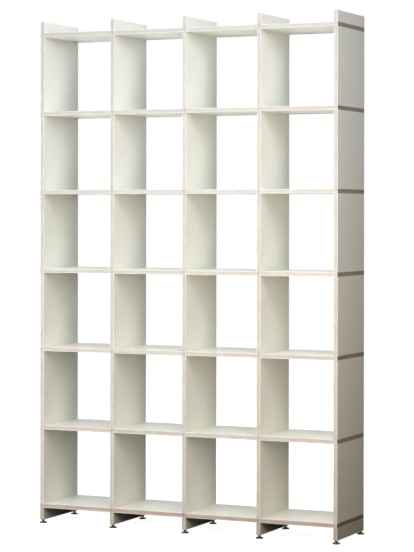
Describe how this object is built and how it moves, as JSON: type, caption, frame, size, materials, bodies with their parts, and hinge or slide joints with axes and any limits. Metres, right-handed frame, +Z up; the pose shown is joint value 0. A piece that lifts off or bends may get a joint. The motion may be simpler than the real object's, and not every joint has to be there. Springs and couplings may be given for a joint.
{
  "type": "shelving unit",
  "caption": "Tall open shelving unit of white-faced plywood boards stacked on short chromed levelling feet.",
  "frame": {"origin": "on the floor, under the middle of the unit's width and depth", "axes": "+X along the front from left to right, +Y from the front to the back, so the front faces -Y, +Z up"},
  "size_m": [1.475, 0.337, 2.3001],
  "materials": {
    "white_faced_plywood": "matt white laminate faces with bare, clear-oiled plywood edges",
    "pin_steel": "bright turned steel, hidden in the boards",
    "zinc_plated_steel": "zinc-plated steel",
    "chrome": "polished chrome plating on turned steel"
  },
  "bodies": {
    "frame": {"shelf_1_bay_1": "white_faced_plywood", "shelf_1_bay_2": "white_faced_plywood", "shelf_1_bay_3": "white_faced_plywood", "shelf_1_bay_4": "white_faced_plywood", "shelf_2_bay_1": "white_faced_plywood", "shelf_2_bay_2": "white_faced_plywood", "shelf_2_bay_3": "white_faced_plywood", "shelf_2_bay_4": "white_faced_plywood", "shelf_3_bay_1": "white_faced_plywood", "shelf_3_bay_2": "white_faced_plywood", "shelf_3_bay_3": "white_faced_plywood", "shelf_3_bay_4": "white_faced_plywood", "shelf_4_bay_1": "white_faced_plywood", "shelf_4_bay_2": "white_faced_plywood", "shelf_4_bay_3": "white_faced_plywood", "shelf_4_bay_4": "white_faced_plywood", "shelf_5_bay_1": "white_faced_plywood", "shelf_5_bay_2": "white_faced_plywood", "shelf_5_bay_3": "white_faced_plywood", "shelf_5_bay_4": "white_faced_plywood", "shelf_6_bay_1": "white_faced_plywood", "shelf_6_bay_2": "white_faced_plywood", "shelf_6_bay_3": "white_faced_plywood", "shelf_6_bay_4": "white_faced_plywood", "shelf_7_bay_1": "white_faced_plywood", "shelf_7_bay_2": "white_faced_plywood", "shelf_7_bay_3": "white_faced_plywood", "shelf_7_bay_4": "white_faced_plywood", "upright_1": "white_faced_plywood", "upright_2": "white_faced_plywood", "upright_3": "white_faced_plywood", "upright_4": "white_faced_plywood", "upright_5": "white_faced_plywood", "head_panels": "white_faced_plywood", "base_panels": "white_faced_plywood", "cross_connectors": "pin_steel", "end_pins": "pin_steel", "foot_inserts": "zinc_plated_steel"},
    "foot_pad_1_front": {"foot_pad_1_front": "chrome"},
    "foot_screw_1_front": {"foot_screw_1_front": "chrome"},
    "foot_pad_1_back": {"foot_pad_1_back": "chrome"},
    "foot_screw_1_back": {"foot_screw_1_back": "chrome"},
    "foot_pad_2_front": {"foot_pad_2_front": "chrome"},
    "foot_screw_2_front": {"foot_screw_2_front": "chrome"},
    "foot_pad_2_back": {"foot_pad_2_back": "chrome"},
    "foot_screw_2_back": {"foot_screw_2_back": "chrome"},
    "foot_pad_3_front": {"foot_pad_3_front": "chrome"},
    "foot_screw_3_front": {"foot_screw_3_front": "chrome"},
    "foot_pad_3_back": {"foot_pad_3_back": "chrome"},
    "foot_screw_3_back": {"foot_screw_3_back": "chrome"},
    "foot_pad_4_front": {"foot_pad_4_front": "chrome"},
    "foot_screw_4_front": {"foot_screw_4_front": "chrome"},
    "foot_pad_4_back": {"foot_pad_4_back": "chrome"},
    "foot_screw_4_back": {"foot_screw_4_back": "chrome"},
    "foot_pad_5_front": {"foot_pad_5_front": "chrome"},
    "foot_screw_5_front": {"foot_screw_5_front": "chrome"},
    "foot_pad_5_back": {"foot_pad_5_back": "chrome"},
    "foot_screw_5_back": {"foot_screw_5_back": "chrome"}
  },
  "joints": [
    {"name": "foot_1_front_height", "type": "slide", "parent": "frame", "child": "foot_pad_1_front", "axis": [0, 0, -1], "range_m": [0, 0.012]},
    {"name": "foot_1_front_turn", "type": "hinge", "parent": "foot_pad_1_front", "child": "foot_screw_1_front", "pos_m": [-0.72, -0.151, 0], "axis": [0, 0, -1], "range_deg": [0, 3456]},
    {"name": "foot_1_back_height", "type": "slide", "parent": "frame", "child": "foot_pad_1_back", "axis": [0, 0, -1], "range_m": [0, 0.012]},
    {"name": "foot_1_back_turn", "type": "hinge", "parent": "foot_pad_1_back", "child": "foot_screw_1_back", "pos_m": [-0.72, 0.151, 0], "axis": [0, 0, -1], "range_deg": [0, 3456]},
    {"name": "foot_2_front_height", "type": "slide", "parent": "frame", "child": "foot_pad_2_front", "axis": [0, 0, -1], "range_m": [0, 0.012]},
    {"name": "foot_2_front_turn", "type": "hinge", "parent": "foot_pad_2_front", "child": "foot_screw_2_front", "pos_m": [-0.36, -0.151, 0], "axis": [0, 0, -1], "range_deg": [0, 3456]},
    {"name": "foot_2_back_height", "type": "slide", "parent": "frame", "child": "foot_pad_2_back", "axis": [0, 0, -1], "range_m": [0, 0.012]},
    {"name": "foot_2_back_turn", "type": "hinge", "parent": "foot_pad_2_back", "child": "foot_screw_2_back", "pos_m": [-0.36, 0.151, 0], "axis": [0, 0, -1], "range_deg": [0, 3456]},
    {"name": "foot_3_front_height", "type": "slide", "parent": "frame", "child": "foot_pad_3_front", "axis": [0, 0, -1], "range_m": [0, 0.012]},
    {"name": "foot_3_front_turn", "type": "hinge", "parent": "foot_pad_3_front", "child": "foot_screw_3_front", "pos_m": [0, -0.151, 0], "axis": [0, 0, -1], "range_deg": [0, 3456]},
    {"name": "foot_3_back_height", "type": "slide", "parent": "frame", "child": "foot_pad_3_back", "axis": [0, 0, -1], "range_m": [0, 0.012]},
    {"name": "foot_3_back_turn", "type": "hinge", "parent": "foot_pad_3_back", "child": "foot_screw_3_back", "pos_m": [0, 0.151, 0], "axis": [0, 0, -1], "range_deg": [0, 3456]},
    {"name": "foot_4_front_height", "type": "slide", "parent": "frame", "child": "foot_pad_4_front", "axis": [0, 0, -1], "range_m": [0, 0.012]},
    {"name": "foot_4_front_turn", "type": "hinge", "parent": "foot_pad_4_front", "child": "foot_screw_4_front", "pos_m": [0.36, -0.151, 0], "axis": [0, 0, -1], "range_deg": [0, 3456]},
    {"name": "foot_4_back_height", "type": "slide", "parent": "frame", "child": "foot_pad_4_back", "axis": [0, 0, -1], "range_m": [0, 0.012]},
    {"name": "foot_4_back_turn", "type": "hinge", "parent": "foot_pad_4_back", "child": "foot_screw_4_back", "pos_m": [0.36, 0.151, 0], "axis": [0, 0, -1], "range_deg": [0, 3456]},
    {"name": "foot_5_front_height", "type": "slide", "parent": "frame", "child": "foot_pad_5_front", "axis": [0, 0, -1], "range_m": [0, 0.012]},
    {"name": "foot_5_front_turn", "type": "hinge", "parent": "foot_pad_5_front", "child": "foot_screw_5_front", "pos_m": [0.72, -0.151, 0], "axis": [0, 0, -1], "range_deg": [0, 3456]},
    {"name": "foot_5_back_height", "type": "slide", "parent": "frame", "child": "foot_pad_5_back", "axis": [0, 0, -1], "range_m": [0, 0.012]},
    {"name": "foot_5_back_turn", "type": "hinge", "parent": "foot_pad_5_back", "child": "foot_screw_5_back", "pos_m": [0.72, 0.151, 0], "axis": [0, 0, -1], "range_deg": [0, 3456]}
  ],
  "couplings": [
    {"joint": "foot_1_front_turn", "follows": "foot_1_front_height", "rad_per_m": 5026.5},
    {"joint": "foot_1_back_turn", "follows": "foot_1_back_height", "rad_per_m": 5026.5},
    {"joint": "foot_2_front_turn", "follows": "foot_2_front_height", "rad_per_m": 5026.5},
    {"joint": "foot_2_back_turn", "follows": "foot_2_back_height", "rad_per_m": 5026.5},
    {"joint": "foot_3_front_turn", "follows": "foot_3_front_height", "rad_per_m": 5026.5},
    {"joint": "foot_3_back_turn", "follows": "foot_3_back_height", "rad_per_m": 5026.5},
    {"joint": "foot_4_front_turn", "follows": "foot_4_front_height", "rad_per_m": 5026.5},
    {"joint": "foot_4_back_turn", "follows": "foot_4_back_height", "rad_per_m": 5026.5},
    {"joint": "foot_5_front_turn", "follows": "foot_5_front_height", "rad_per_m": 5026.5},
    {"joint": "foot_5_back_turn", "follows": "foot_5_back_height", "rad_per_m": 5026.5}
  ]
}
